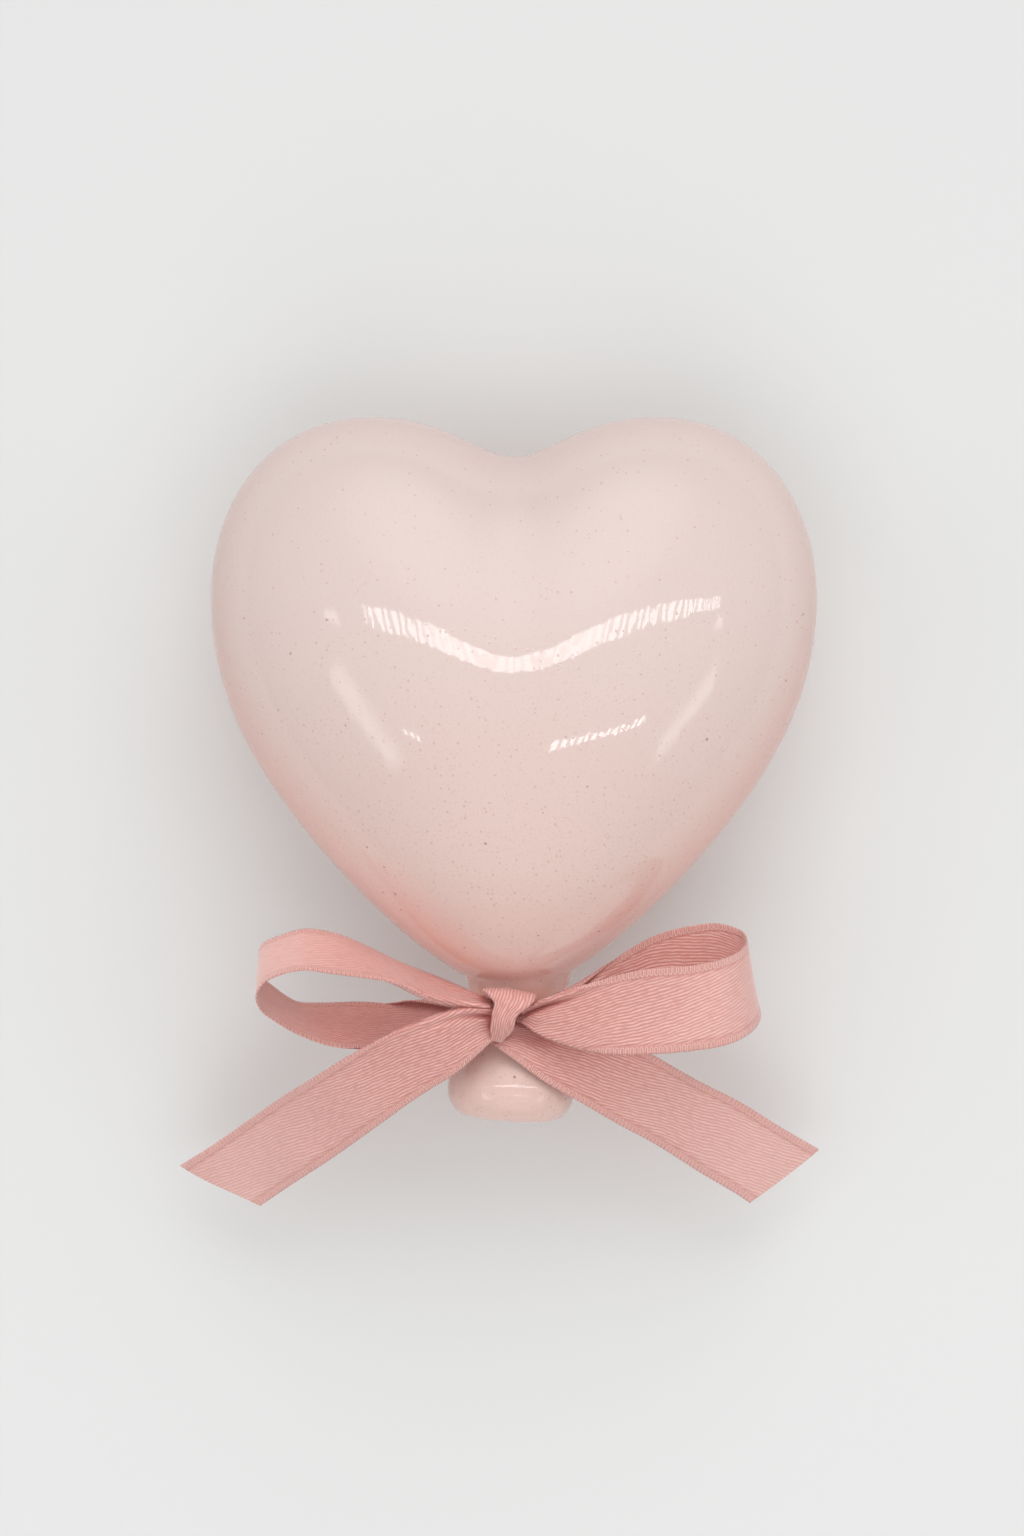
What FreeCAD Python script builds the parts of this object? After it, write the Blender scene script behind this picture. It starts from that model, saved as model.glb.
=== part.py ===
"""Heart-shaped trinket box in the form of an inflated balloon.

Frame: millimetres, +Z up.  The box rests on z = 0, and the origin is level with the middle of
the heart.  +Y runs from the balloon's mouth towards the cleft between the lobes, +X to the right.

The ceramic is two castings.  The lid is the upper part of a puffy heart together with the whole
balloon neck and mouth, and the tray is the lower part.  A gallery lip inside the tray's rim
locates the lid.  A satin ribbon is tied in a bow round the neck, and the tray stands on a thin
non-slip pad.
"""

import FreeCAD
import Part

import math
import os

from FreeCAD import Vector

# ---------------------------------------------------------------- driving dimensions
HALF_WIDTH = 48.0        # heart, centre line to its widest point
HALF_DEPTH = 27.0        # heart, middle plane to the top of the dome on the centre line
WALL = 3.2               # casting thickness
PAD_THICKNESS = 1.2      # non-slip pad under the tray
FOOT_CUT = 3.0           # how much of the round belly is ground off for the foot
MIDDLE_Z = PAD_THICKNESS + HALF_DEPTH - FOOT_CUT
FOOT_Z = PAD_THICKNESS
SEAM_Z = MIDDLE_Z - 10.0  # the plane where lid and tray meet, just under the neck
RIM_GAP = 0.3            # between the two rims
FLOOR_THICKNESS = 3.2

GALLERY_CLEARANCE = 0.6  # between the lid's mouth and the lip
GALLERY_THICKNESS = 1.7
GALLERY_HEIGHT = 2.2     # above the seam
GALLERY_ROOT = 4.0       # below the seam, where the lip grows out of the wall
RIM_ROUND = 0.5          # rounding on the outer edges of both rims

# Right half of the heart's outline on the middle plane: distance from the centre line, and how far
# the outline lies to the cleft side and to the neck side of the origin.
OUTLINE = [
    (0.0, 36.9, -47.6),    # cleft, and the rounded point under the neck
    (6.3, 38.9, -46.0),
    (12.4, 41.5, -42.4),
    (24.0, 43.1, -32.4),   # crown of the lobe
    (33.9, 40.6, -21.2),
    (41.6, 34.3, -9.7),
    (46.4, 25.2, 2.1),
]
WIDEST_Y = 14.3          # where the outline is HALF_WIDTH from the centre line
SIDE_RADIUS = 44.0       # of the outline at its widest point

# Neck and mouth, a turned form: radius and distance along the neck from its root.
NECK_ROOT = Vector(0.7, -45.0, MIDDLE_Z)
NECK_LEAN = 3.8          # degrees that the neck leans to the left
NECK_PROFILE = [
    (8.5, -6.0),
    (8.3, 0.0),
    (7.4, 3.6),
    (6.6, 7.4),          # waist, where the ribbon is tied
    (7.5, 11.5),
    (9.3, 15.2),
    (10.0, 18.3),        # widest part of the mouth
    (9.2, 21.2),
    (6.9, 22.8),         # rolled lip
    (4.6, 22.0),
    (0.0, 20.8),         # dimple in the end
]
NECK_HOLLOW = [
    (5.2, -9.0),
    (4.6, 0.0),
    (3.4, 7.4),
    (4.3, 11.5),
    (6.2, 15.2),
    (5.2, 17.6),
    (0.0, 18.2),
]
NECK_FILLET = 1.8

PAD_SHARE = 0.88         # size of the pad against the ground flat that it is glued to
PAD_EDGE = 0.3           # chamfer on its lower edge

LEVEL_TOLERANCE = 0.02   # an edge this near to a height lies at it
FUSE_OVERLAP = 0.2       # how far solids that are fused run into each other
RIM_REACH = 40.0         # only the rims' outer edges go this far from the centre line
NECK_JOINT_SIZE = (14.0, 22.0)   # the edge between heart and neck is this wide

# ---------------------------------------------------------------- ribbon
RIBBON_WIDTH = 12.7
RIBBON_THICKNESS = 0.6
TURN_INSIDE = 7.6        # radius of the turn round the neck
TURN_DISTANCE = 7.4      # along the neck, at its waist
TURN_WIDTH = 6.0         # the ribbon is gathered where it goes round
KNOT_CENTRE = Vector(-1.0, -51.3, MIDDLE_Z + 10.6)
KNOT_SIZE = Vector(6.4, 8.4, 4.4)
KNOT_ROUND = 1.4

# Each loop is a band.  Its path is drawn in a plane, as distances from the knot along X and
# along the plane's second direction; the band's width stands square to that plane.  A tilt of
# zero lays the band's width flat, and a larger one lifts its edge on the mouth's side.
LEFT_LOOP_TILT = 60.0
LEFT_LOOP_START = Vector(0.0, -51.0, MIDDLE_Z + 8.8)
LEFT_LOOP_PATH = [
    (-5.6, 0.9),
    (-13.0, 4.6),
    (-24.0, 9.6),
    (-33.9, 11.5),
    (-39.6, 9.4),
    (-40.7, 4.9),
    (-37.9, 0.8),
    (-31.5, -2.4),
    (-22.0, -3.4),
    (-13.0, -2.8),
    (-5.6, -0.9),
]
RIGHT_LOOP_TILT = -16.0
RIGHT_LOOP_START = Vector(0.0, -50.3, MIDDLE_Z + 12.0)
RIGHT_LOOP_PATH = [
    (3.2, 0.9),
    (10.0, 3.8),
    (20.0, 7.4),
    (30.0, 8.4),
    (37.0, 5.4),
    (39.2, 0.4),
    (36.6, -4.2),
    (29.0, -6.2),
    (19.0, -4.2),
    (9.5, -1.6),
    (3.2, -0.9),
]
PINCHED_WIDTH = 5.0      # of the ribbon where it leaves the knot
SPREAD_LENGTH = 11.0     # over which it opens to its full width

# Each tail is a strip that droops: distance from the knot in plan, and height above the table.
LEFT_TAIL_ROOT = Vector(-4.6, -54.0, 0)
LEFT_TAIL_HEADING = 212.0     # degrees from +X
LEFT_TAIL_PATH = [(0.0, 37.2), (8.0, 37.6), (18.0, 36.0), (30.0, 26.5), (42.0, 15.5), (55.0, 9.5)]
LEFT_TAIL_CUT = 52.0          # degrees between the cut and the edges
RIGHT_TAIL_ROOT = Vector(1.4, -54.6, 0)
RIGHT_TAIL_HEADING = -30.5
RIGHT_TAIL_PATH = [(0.0, 34.4), (7.0, 34.6), (15.0, 31.6), (27.0, 23.5), (40.0, 14.5), (53.5, 9.5)]
RIGHT_TAIL_CUT = 63.0
FAR = 120.0              # longer than any piece of the bow


# ---------------------------------------------------------------- the puffy heart
def spline(points, parameters, first_tangent, last_tangent):
    curve = Part.BSplineCurve()
    curve.interpolate(
        Points=points,
        Parameters=parameters,
        Scale=False,
        InitialTangent=first_tangent,
        FinalTangent=last_tangent,
    )
    return curve


def section_curve(inset):
    """Curve whose points hold (x, middle of the section, half the section's length).

    Its parameter is the angle whose sine is x over the half width, so that the heart
    closes as smoothly at its two sides as an ellipsoid does.
    """
    width = HALF_WIDTH - inset
    longest = (OUTLINE[0][1] - OUTLINE[0][2]) / 2
    shrink = (longest - inset) / longest
    right = []
    for x, upper, lower in OUTLINE:
        angle = math.asin(x / HALF_WIDTH)
        point = Vector(x * width / HALF_WIDTH, (upper + lower) / 2, shrink * (upper - lower) / 2)
        right.append((angle, point))
    right.append((math.pi / 2, Vector(width, WIDEST_Y, 0.0)))
    left = [(-angle, Vector(-p.x, p.y, p.z)) for angle, p in reversed(right[1:])]
    stations = left + right
    closing = shrink * math.sqrt(SIDE_RADIUS * HALF_WIDTH)
    return spline(
        [p for _, p in stations],
        [angle for angle, _ in stations],
        Vector(0, 0, closing),
        Vector(0, 0, -closing),
    )


def half_circle():
    angles = [math.pi * i / 8 for i in range(9)]
    points = [Vector(math.cos(a), math.sin(a), 0) for a in angles]
    return spline(points, angles, Vector(0, 1, 0), Vector(0, -1, 0))


def heart_face(inset, side):
    """Upper (side 1) or lower (side -1) skin: every section at constant x is half an ellipse."""
    sections = section_curve(inset)
    circle = half_circle()
    longest = (OUTLINE[0][1] - OUTLINE[0][2]) / 2 - inset
    plumpness = (HALF_DEPTH - inset) / longest
    poles = [
        [
            Vector(
                s.x,
                s.y + s.z * c.x,
                MIDDLE_Z + side * plumpness * s.z * c.y,
            )
            for c in circle.getPoles()
        ]
        for s in sections.getPoles()
    ]
    surface = Part.BSplineSurface()
    surface.buildFromPolesMultsKnots(
        poles,
        sections.getMultiplicities(),
        circle.getMultiplicities(),
        sections.getKnots(),
        circle.getKnots(),
        False,
        False,
        sections.Degree,
        circle.Degree,
    )
    return surface.toShape()


def heart_body(inset):
    """The whole puffy heart as a closed solid, its skin drawn in by inset."""
    shell = Part.makeShell([heart_face(inset, 1), heart_face(inset, -1)])
    shell.sewShape()
    body = Part.makeSolid(shell)
    if body.Volume < 0:
        body.reverse()
    return body


def slab(low_z, high_z):
    """A block wider than the box between two heights."""
    reach = 3 * HALF_WIDTH
    return Part.makeBox(2 * reach, 2 * reach, high_z - low_z, Vector(-reach, -reach, low_z))


def flat_edges(shape, height, reach):
    """The edges that lie at one height and go at least that far out along X."""
    return [
        e for e in shape.Edges
        if abs(e.BoundBox.ZMax - height) < LEVEL_TOLERANCE
        and abs(e.BoundBox.ZMin - height) < LEVEL_TOLERANCE
        and max(e.BoundBox.XMax, -e.BoundBox.XMin) > reach
    ]


def heart_outline(inset, height):
    """A level face that fills the inset heart at one height."""
    reach = 3 * HALF_WIDTH
    sheet = Part.makePlane(2 * reach, 2 * reach, Vector(-reach, -reach, height))
    return sheet.common(heart_body(inset)).Faces[0]


def heart_prism(inset, height, low_z, high_z):
    """The outline of the inset heart at one height, drawn out between two others."""
    face = heart_outline(inset, height)
    face.translate(Vector(0, 0, low_z - height))
    return face.extrude(Vector(0, 0, high_z - low_z))


# ---------------------------------------------------------------- neck and mouth
def turned(profile):
    """A solid of revolution about the neck's own axis."""
    points = [Vector(radius, -distance, 0) for radius, distance in profile]
    curve = Part.BSplineCurve()
    curve.interpolate(Points=points)
    start, end = points[0], points[-1]
    on_axis = Vector(0, start.y, 0)
    wire = Part.Wire([
        curve.toShape(),
        Part.LineSegment(end, on_axis).toShape(),
        Part.LineSegment(on_axis, start).toShape(),
    ])
    solid = Part.Face(wire).revolve(Vector(0, 0, 0), Vector(0, 1, 0), 360)
    solid = Part.makeSolid(solid) if solid.ShapeType != "Solid" else solid
    if solid.Volume < 0:
        solid.reverse()
    return place_on_neck(solid)


def place_on_neck(shape):
    """Moves a shape from the neck's own frame (root at 0, mouth along -Y) to the box."""
    shape.Placement = neck_placement().multiply(shape.Placement)
    return shape


def neck_placement():
    return FreeCAD.Placement(NECK_ROOT, FreeCAD.Rotation(Vector(0, 0, 1), -NECK_LEAN))


# ---------------------------------------------------------------- ceramic castings
def lid_dome():
    """Upper part of the heart with the neck and mouth, hollow inside."""
    outside = heart_body(0).fuse(turned(NECK_PROFILE))
    outside = outside.removeSplitter()
    narrowest, widest = NECK_JOINT_SIZE
    joint = [
        e for e in outside.Edges
        if abs(e.BoundBox.Center.y - NECK_ROOT.y) < WALL
        and narrowest < e.BoundBox.XLength < widest
    ]
    outside = outside.makeFillet(NECK_FILLET, joint)
    rim_z = SEAM_Z + RIM_GAP / 2
    upper = outside.common(slab(rim_z, MIDDLE_Z + 2 * HALF_DEPTH))
    upper = upper.makeFillet(RIM_ROUND, flat_edges(upper, rim_z, RIM_REACH))
    inside = heart_body(WALL).fuse(turned(NECK_HOLLOW))
    return upper.cut(inside)


def tray():
    """Bowl with a flat foot and, inside its rim, the lip that locates the lid."""
    root_z = SEAM_Z - GALLERY_ROOT
    lip_inset = WALL + GALLERY_CLEARANCE
    rim_z = SEAM_Z - RIM_GAP / 2
    belly = heart_body(0).common(slab(FOOT_Z, rim_z))
    belly = belly.makeFillet(RIM_ROUND, flat_edges(belly, rim_z, RIM_REACH))
    lip_z = SEAM_Z + GALLERY_HEIGHT
    lip = heart_prism(lip_inset, SEAM_Z, root_z, lip_z)
    bottom = heart_body(WALL).common(slab(FOOT_Z + FLOOR_THICKNESS, root_z + FUSE_OVERLAP))
    mouth = heart_prism(lip_inset + GALLERY_THICKNESS, SEAM_Z, root_z, lip_z + WALL)
    return belly.fuse(lip).cut(bottom.fuse(mouth))


def foot_pad():
    """Heart-shaped pad glued to the ground flat of the tray, a little smaller than the flat."""
    outline = heart_outline(0, FOOT_Z)
    outline.scale(PAD_SHARE, outline.BoundBox.Center)
    outline.translate(Vector(0, 0, -outline.BoundBox.ZMin))
    pad = outline.extrude(Vector(0, 0, PAD_THICKNESS))
    return pad.makeChamfer(PAD_EDGE, flat_edges(pad, 0.0, 0.0))


# ---------------------------------------------------------------- ribbon
def ribbon_turn():
    """The ribbon's turn round the neck, a ring that lies close to the waist."""
    outside = TURN_INSIDE + RIBBON_THICKNESS
    start = Vector(0, -TURN_DISTANCE - TURN_WIDTH / 2, 0)
    along = Vector(0, 1, 0)
    ring = Part.makeCylinder(outside, TURN_WIDTH, start, along)
    hole = Part.makeCylinder(TURN_INSIDE, 3 * TURN_WIDTH, start - along * TURN_WIDTH, along)
    return place_on_neck(ring.cut(hole))


def ribbon_knot():
    """The space that the gathered knot fills."""
    corner = KNOT_CENTRE - KNOT_SIZE / 2
    block = Part.makeBox(KNOT_SIZE.x, KNOT_SIZE.y, KNOT_SIZE.z, corner)
    return block.makeFillet(KNOT_ROUND, block.Edges)


def band_face(path, first, second, origin):
    """The ribbon seen edge-on: a planar path given its thickness."""
    curve = Part.BSplineCurve()
    curve.interpolate(Points=[origin + first * a + second * b for a, b in path])
    square = first.cross(second)
    sides = []
    for side in (1, -1):
        points = []
        for i in range(4 * len(path) - 3):
            share = i / (4 * len(path) - 4)
            at = curve.FirstParameter + share * (curve.LastParameter - curve.FirstParameter)
            out = square.cross(curve.tangent(at)[0]).normalize()
            points.append(curve.value(at) + out * (side * RIBBON_THICKNESS / 2))
        offset = Part.BSplineCurve()
        offset.interpolate(Points=points)
        sides.append(offset)
    ends = [
        Part.LineSegment(sides[0].EndPoint, sides[1].EndPoint),
        Part.LineSegment(sides[1].StartPoint, sides[0].StartPoint),
    ]
    edges = [sides[0].toShape(), ends[0].toShape(), sides[1].toShape(), ends[1].toShape()]
    return Part.Face(Part.Wire(Part.__sortEdges__(edges)))


def pinch(start, ahead, across):
    """The space that a ribbon may take up: narrow at the knot, opening to its full width."""
    square = ahead.cross(across)
    narrow = PINCHED_WIDTH / 2
    wide = RIBBON_WIDTH / 2 + LEVEL_TOLERANCE
    shape = [(-SPREAD_LENGTH, narrow), (0, narrow), (SPREAD_LENGTH, wide), (FAR, wide)]
    corners = [(a, w) for a, w in shape] + [(a, -w) for a, w in reversed(shape)]
    points = [start + ahead * a + across * w - square * FAR / 2 for a, w in corners]
    return Part.Face(Part.makePolygon(points + points[:1])).extrude(square * FAR)


def ribbon_loop(path, start, tilt):
    """A closed bow loop; see the note on tilt above."""
    angle = math.radians(tilt)
    across = Vector(0, -math.cos(angle), math.sin(angle))
    second = Vector(0, math.sin(angle), math.cos(angle))
    face = band_face(path, Vector(1, 0, 0), second, start - across * (RIBBON_WIDTH / 2))
    ahead = Vector(math.copysign(1, path[0][0]), 0, 0)
    space = pinch(start + Vector(path[0][0], 0, 0), ahead, across)
    return face.extrude(across * RIBBON_WIDTH).common(space)


def ribbon_tail(path, root, heading, cut):
    """A drooping strip whose end is cut on the slant, longer on the cleft's side."""
    angle = math.radians(heading)
    ahead = Vector(math.cos(angle), math.sin(angle), 0)
    across = Vector(-math.sin(angle), math.cos(angle), 0)
    face = band_face(path, ahead, Vector(0, 0, 1), root - across * (RIBBON_WIDTH / 2))
    strip = face.extrude(across * RIBBON_WIDTH).common(pinch(root, ahead, across))
    longer_side = math.copysign(1, across.y)
    reach = RIBBON_WIDTH / 2 / math.tan(math.radians(cut))
    scrap = Part.makeBox(FAR, FAR, FAR, Vector(0, -FAR / 2, -FAR / 2))
    turn = FreeCAD.Rotation(Vector(0, 0, 1), heading - longer_side * (90 - cut))
    scrap.Placement = FreeCAD.Placement(root + ahead * (path[-1][0] - reach), turn)
    return strip.cut(scrap)


# ---------------------------------------------------------------- files
def export(name, shape):
    solids = shape.Solids
    if len(solids) != 1:
        raise ValueError(f"{name} should be one solid, not {len(solids)}")
    solids[0].exportStep(os.path.join("parts", name + ".step"))


def build():
    os.makedirs("parts", exist_ok=True)
    export("lid_dome", lid_dome())
    export("tray", tray())
    export("foot_pad", foot_pad())
    export("ribbon_turn", ribbon_turn())
    export("ribbon_knot", ribbon_knot())
    export("ribbon_loop_left", ribbon_loop(LEFT_LOOP_PATH, LEFT_LOOP_START, LEFT_LOOP_TILT))
    export("ribbon_loop_right", ribbon_loop(RIGHT_LOOP_PATH, RIGHT_LOOP_START, RIGHT_LOOP_TILT))
    left = ribbon_tail(LEFT_TAIL_PATH, LEFT_TAIL_ROOT, LEFT_TAIL_HEADING, LEFT_TAIL_CUT)
    right = ribbon_tail(RIGHT_TAIL_PATH, RIGHT_TAIL_ROOT, RIGHT_TAIL_HEADING, RIGHT_TAIL_CUT)
    export("ribbon_tail_left", left)
    export("ribbon_tail_right", right)


build()
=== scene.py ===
"""Looks of a heart-shaped ceramic trinket box in the form of a balloon, with a satin bow."""

import math

import bpy
import numpy as np
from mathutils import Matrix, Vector


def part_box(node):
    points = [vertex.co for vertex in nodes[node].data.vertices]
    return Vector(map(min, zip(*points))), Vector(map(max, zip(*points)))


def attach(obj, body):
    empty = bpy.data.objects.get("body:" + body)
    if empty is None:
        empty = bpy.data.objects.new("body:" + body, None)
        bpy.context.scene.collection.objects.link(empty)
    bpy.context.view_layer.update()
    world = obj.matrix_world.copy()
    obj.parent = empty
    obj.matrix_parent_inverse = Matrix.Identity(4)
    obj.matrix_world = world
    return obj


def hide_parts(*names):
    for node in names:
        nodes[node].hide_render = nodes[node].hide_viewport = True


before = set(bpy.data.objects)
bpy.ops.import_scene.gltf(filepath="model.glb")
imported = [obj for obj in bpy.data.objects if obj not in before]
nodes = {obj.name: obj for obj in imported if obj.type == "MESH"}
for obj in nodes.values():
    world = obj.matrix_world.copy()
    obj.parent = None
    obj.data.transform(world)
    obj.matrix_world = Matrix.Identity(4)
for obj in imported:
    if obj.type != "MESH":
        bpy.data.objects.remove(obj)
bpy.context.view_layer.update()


def middle_of(node):
    """Middle of the box round a node."""
    box_low, box_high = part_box(node)
    return (box_low + box_high) / 2


MM = 0.001
DOME_LOW, DOME_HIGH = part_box("lid_dome")
KNOT = middle_of("ribbon_knot")
TURN = middle_of("ribbon_turn")
SEAM_Z = DOME_LOW.z
FOOT_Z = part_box("foot_pad")[1].z        # where the pad meets the ground foot
CREASE_Y = TURN.y + 0.0052              # where the neck leaves the heart
NECK_LEAN = math.radians(3.8)
LOBES_TO_NECK = (0.04, -0.03)           # along the heart, where the glaze goes from pale to pooling, with painted shade growing on the steep flanks
RIM_BAND = 0.45 * MM                    # wiped bare, this far from the seam
LEVEL = 0.97                            # a face this level counts as a rim or as the foot

RIBBON_WIDTH = 12.6 * MM
RIBBON_THICKNESS = 0.22 * MM
PICOT_PITCH = 0.72 * MM                 # little loops of thread along both selvedges
FLOAT_LINES = 2 * math.pi / (0.50 * MM)  # a float, a thread on the face, every half millimetre
FLOAT_SLANT = 0.2                       # the floats lie a little askew to the selvedges
# Each pair below is where something begins and where it is full.
SELVEDGE = (1.30 * MM, 1.15 * MM)       # from the edge
STITCH_THREAD = (0.15 * MM, 0.05 * MM)  # from the middle of the thread
NEAR_KNOT = (30 * MM, 8 * MM)           # painted shade near the knot, from its middle
FAR_FROM_KNOT = (27 * MM, 50 * MM)      # painted light on the ends, from its middle
GROOVE = 1.35 * MM                      # from the edge, between selvedge and satin
STITCH_ROW = 0.75 * MM                  # from the edge to the middle of each stitch
CREASE_REACH = 4.5 * MM                 # how far the painted shade of a fold reaches on the satin beside it

STEPS_PER_STATION = 40                  # samples of the smooth path for each station
PATH_STEPS = 900                        # even steps along the whole ribbon
RIBBON_COLUMNS = 48                     # faces across it
ROWS_PER_PICOT = 6
FLAT_ABOVE = 0.94                       # share of its width above which it lies flat
FOLD_REACH = 0.7 * MM                   # a fold is at its full depth this far past its edge
FOLD_FULL = 0.8 * MM                    # a margin this wide folds completely
FOLD_ROUND = 0.35 * MM                  # rounding on the seen side of a fold
CREASES_ACROSS = 1.7                    # soft lengthwise creases in the width
ROLL = (0.6, 0.45)                      # millimetres in to the roll's crest, and its width
ROLL_GROOVE = (1.6, 0.35)               # the same for the groove beside the roll
SCALLOP = 0.08 * MM
WAVES = 0.10 * MM                       # height of each of the slight waves
TURN_RADIUS = 8.1                       # millimetres, of the turn round the neck
TURN_HALF_WIDTH = 3.2                   # millimetres
TURN_STEPS = 28


# ---------------------------------------------------------------- node helpers
class Nodes:
    """A short way to write shader nodes.  Values are sockets or plain numbers."""

    def __init__(self, name):
        self.material = bpy.data.materials.new(name)
        self.material.use_nodes = True
        self.tree = self.material.node_tree
        self.shader = self.tree.nodes["Principled BSDF"]

    def add(self, kind, **settings):
        node = self.tree.nodes.new(kind)
        for key, value in settings.items():
            setattr(node, key, value)
        return node

    def put(self, socket, value):
        if isinstance(value, bpy.types.NodeSocket):
            self.tree.links.new(value, socket)
        else:
            socket.default_value = value

    def math(self, operation, first, second=0.0, clamp=False):
        node = self.add("ShaderNodeMath", operation=operation, use_clamp=clamp)
        self.put(node.inputs[0], first)
        self.put(node.inputs[1], second)
        return node.outputs[0]

    def between(self, value, low, high, to_low=0.0, to_high=1.0):
        """Smooth step from low to high."""
        node = self.add("ShaderNodeMapRange", interpolation_type="SMOOTHSTEP")
        for socket, number in zip(node.inputs[:5], (value, low, high, to_low, to_high)):
            self.put(socket, number)
        return node.outputs[0]

    def even(self, value, low, high):
        """Straight step from low to high."""
        node = self.add("ShaderNodeMapRange")
        for socket, number in zip(node.inputs[:3], (value, low, high)):
            self.put(socket, number)
        return node.outputs[0]

    def mix(self, share, first, second):
        node = self.add("ShaderNodeMix", data_type="RGBA")
        self.put(node.inputs[0], share)
        self.put(node.inputs[6], first)
        self.put(node.inputs[7], second)
        return node.outputs[2]

    def ramp(self, value, stops):
        node = self.add("ShaderNodeValToRGB")
        band = node.color_ramp
        while len(band.elements) < len(stops):
            band.elements.new(0.5)
        for element, (place, colour) in zip(band.elements, stops):
            element.position = place
            element.color = colour
        self.put(node.inputs[0], value)
        return node.outputs[0]

    def noise(self, vector, scale, detail=2.0):
        node = self.add("ShaderNodeTexNoise")
        self.put(node.inputs["Vector"], vector)
        node.inputs["Scale"].default_value = scale
        node.inputs["Detail"].default_value = detail
        return node.outputs["Fac"]

    def stretched(self, vector, scale):
        node = self.add("ShaderNodeMapping")
        self.put(node.inputs["Vector"], vector)
        node.inputs["Scale"].default_value = scale
        return node.outputs[0]

    def bump(self, height, strength, distance, under=None):
        node = self.add("ShaderNodeBump")
        node.inputs["Strength"].default_value = strength
        node.inputs["Distance"].default_value = distance
        self.put(node.inputs["Height"], height)
        if under is not None:
            self.put(node.inputs["Normal"], under)
        return node.outputs[0]


def srgb(red, green, blue):
    """Shader colour for an sRGB colour given as 0 to 255."""
    def linear(value):
        value /= 255
        return value / 12.92 if value < 0.04045 else ((value + 0.055) / 1.055) ** 2.4
    return (linear(red), linear(green), linear(blue), 1.0)


# ---------------------------------------------------------------- glazed ceramic
def glaze():
    """Blush glaze: paler on the crown, pinker where it ran into pools, with fine iron specks.  The
    paler crown and the pinker flanks, crease and lower heart are partly painted light and shade, and
    the paler mouth is painted light.
    """
    n = Nodes("blush_glaze")
    place = n.add("ShaderNodeTexCoord").outputs["Object"]
    geometry = n.add("ShaderNodeNewGeometry")
    split = n.add("ShaderNodeSeparateXYZ")
    n.put(split.inputs[0], place)
    x, y, z = split.outputs
    facing = n.add("ShaderNodeSeparateXYZ")
    n.put(facing.inputs[0], geometry.outputs["Normal"])
    up = facing.outputs[2]

    cloud = n.noise(place, 22.0, 3.0)
    drift = n.math("MULTIPLY", n.math("SUBTRACT", cloud, 0.5), 0.018)
    along = n.even(n.math("ADD", y, drift), DOME_LOW.y + 0.022, DOME_HIGH.y - 0.004)
    # paler towards the lobes, pinker towards the neck: partly the glaze, partly painted light and
    # shade
    body = n.ramp(along, [
        (0.0, srgb(224, 184, 173)),
        (0.1, srgb(228, 194, 185)),
        (0.2, srgb(230, 203, 195)),
        (0.5, srgb(230, 207, 200)),
        (0.7, srgb(231, 211, 205)),
        (1.0, srgb(232, 213, 208)),
    ])
    # pinker on steep flanks: glaze pooling and painted shade
    steep = n.between(up, 0.80, 0.15)
    pooling_and_shade = n.math("MULTIPLY", steep, n.between(y, *LOBES_TO_NECK, 0.32, 1.0))
    on_heart = n.between(y, TURN.y - 0.006, TURN.y, 0.35, 1.0)
    body = n.mix(n.math("MULTIPLY", pooling_and_shade, on_heart), body, srgb(225, 172, 160))
    # deeper pink in the crease where the neck leaves the heart: glaze pooling and painted shade
    above = n.between(y, CREASE_Y - 0.0018, CREASE_Y + 0.0017)
    below = n.between(y, CREASE_Y + 0.0047, CREASE_Y + 0.0022)
    crease = n.math("MULTIPLY", above, below)
    body = n.mix(n.math("MULTIPLY", crease, 0.1), body, srgb(220, 164, 152))
    neck = n.math("MULTIPLY", n.between(y, CREASE_Y + 0.001, CREASE_Y - 0.001),
                  n.between(y, TURN.y - 0.004, TURN.y - 0.001))
    body = n.mix(n.math("MULTIPLY", neck, 0.7), body, srgb(244, 184, 166))
    # paler mouth: painted light that lifts the shade cast by the left tail
    mouth = n.between(y, TURN.y - 0.003, TURN.y - 0.007)
    body = n.mix(n.math("MULTIPLY", mouth, 0.6), body, srgb(232, 204, 195))

    dust = n.between(n.noise(place, 3200.0, 2.0), 0.56, 0.72)
    dust = n.math("MULTIPLY", dust, n.between(y, *LOBES_TO_NECK, 0.10, 0.30))
    fine = speckles(n, place, 1050.0, 0.14, 0.95, y)
    coarse = speckles(n, place, 380.0, 0.062, 0.45, y)
    colour = n.mix(dust, body, srgb(205, 152, 142))
    colour = n.mix(n.math("MULTIPLY", fine, 0.30), colour, srgb(184, 106, 98))
    colour = n.mix(n.math("MULTIPLY", coarse, 0.66), colour, srgb(160, 88, 80))
    spots = n.math("MAXIMUM", fine, coarse)

    bare = bare_clay(n, z, up)
    grit = n.noise(place, 2600.0, 3.0)
    clay = n.mix(grit, srgb(214, 190, 172), srgb(228, 208, 192))
    n.put(n.shader.inputs["Base Color"], n.mix(bare, colour, clay))
    smear = n.noise(place, 60.0, 2.0)
    gloss = n.between(smear, 0.3, 0.7, 0.025, 0.045)
    rough = n.add("ShaderNodeMix", data_type="FLOAT")
    n.put(rough.inputs[0], bare)
    n.put(rough.inputs[2], gloss)
    n.put(rough.inputs[3], 0.75)
    n.put(n.shader.inputs["Roughness"], rough.outputs[0])
    n.shader.inputs["IOR"].default_value = 1.52

    ripple = n.noise(place, 150.0, 2.0)
    wavy = n.math("ADD", n.math("MULTIPLY", mouth, 2.5), 1.0)
    pits = n.math("SUBTRACT", n.math("MULTIPLY", ripple, wavy), n.math("MULTIPLY", spots, 0.25))
    normal = n.bump(pits, 0.10, 0.0004)
    normal = n.bump(n.math("MULTIPLY", grit, bare), 0.35, 0.0001, normal)
    n.put(n.shader.inputs["Normal"], normal)
    return n.material


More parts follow.
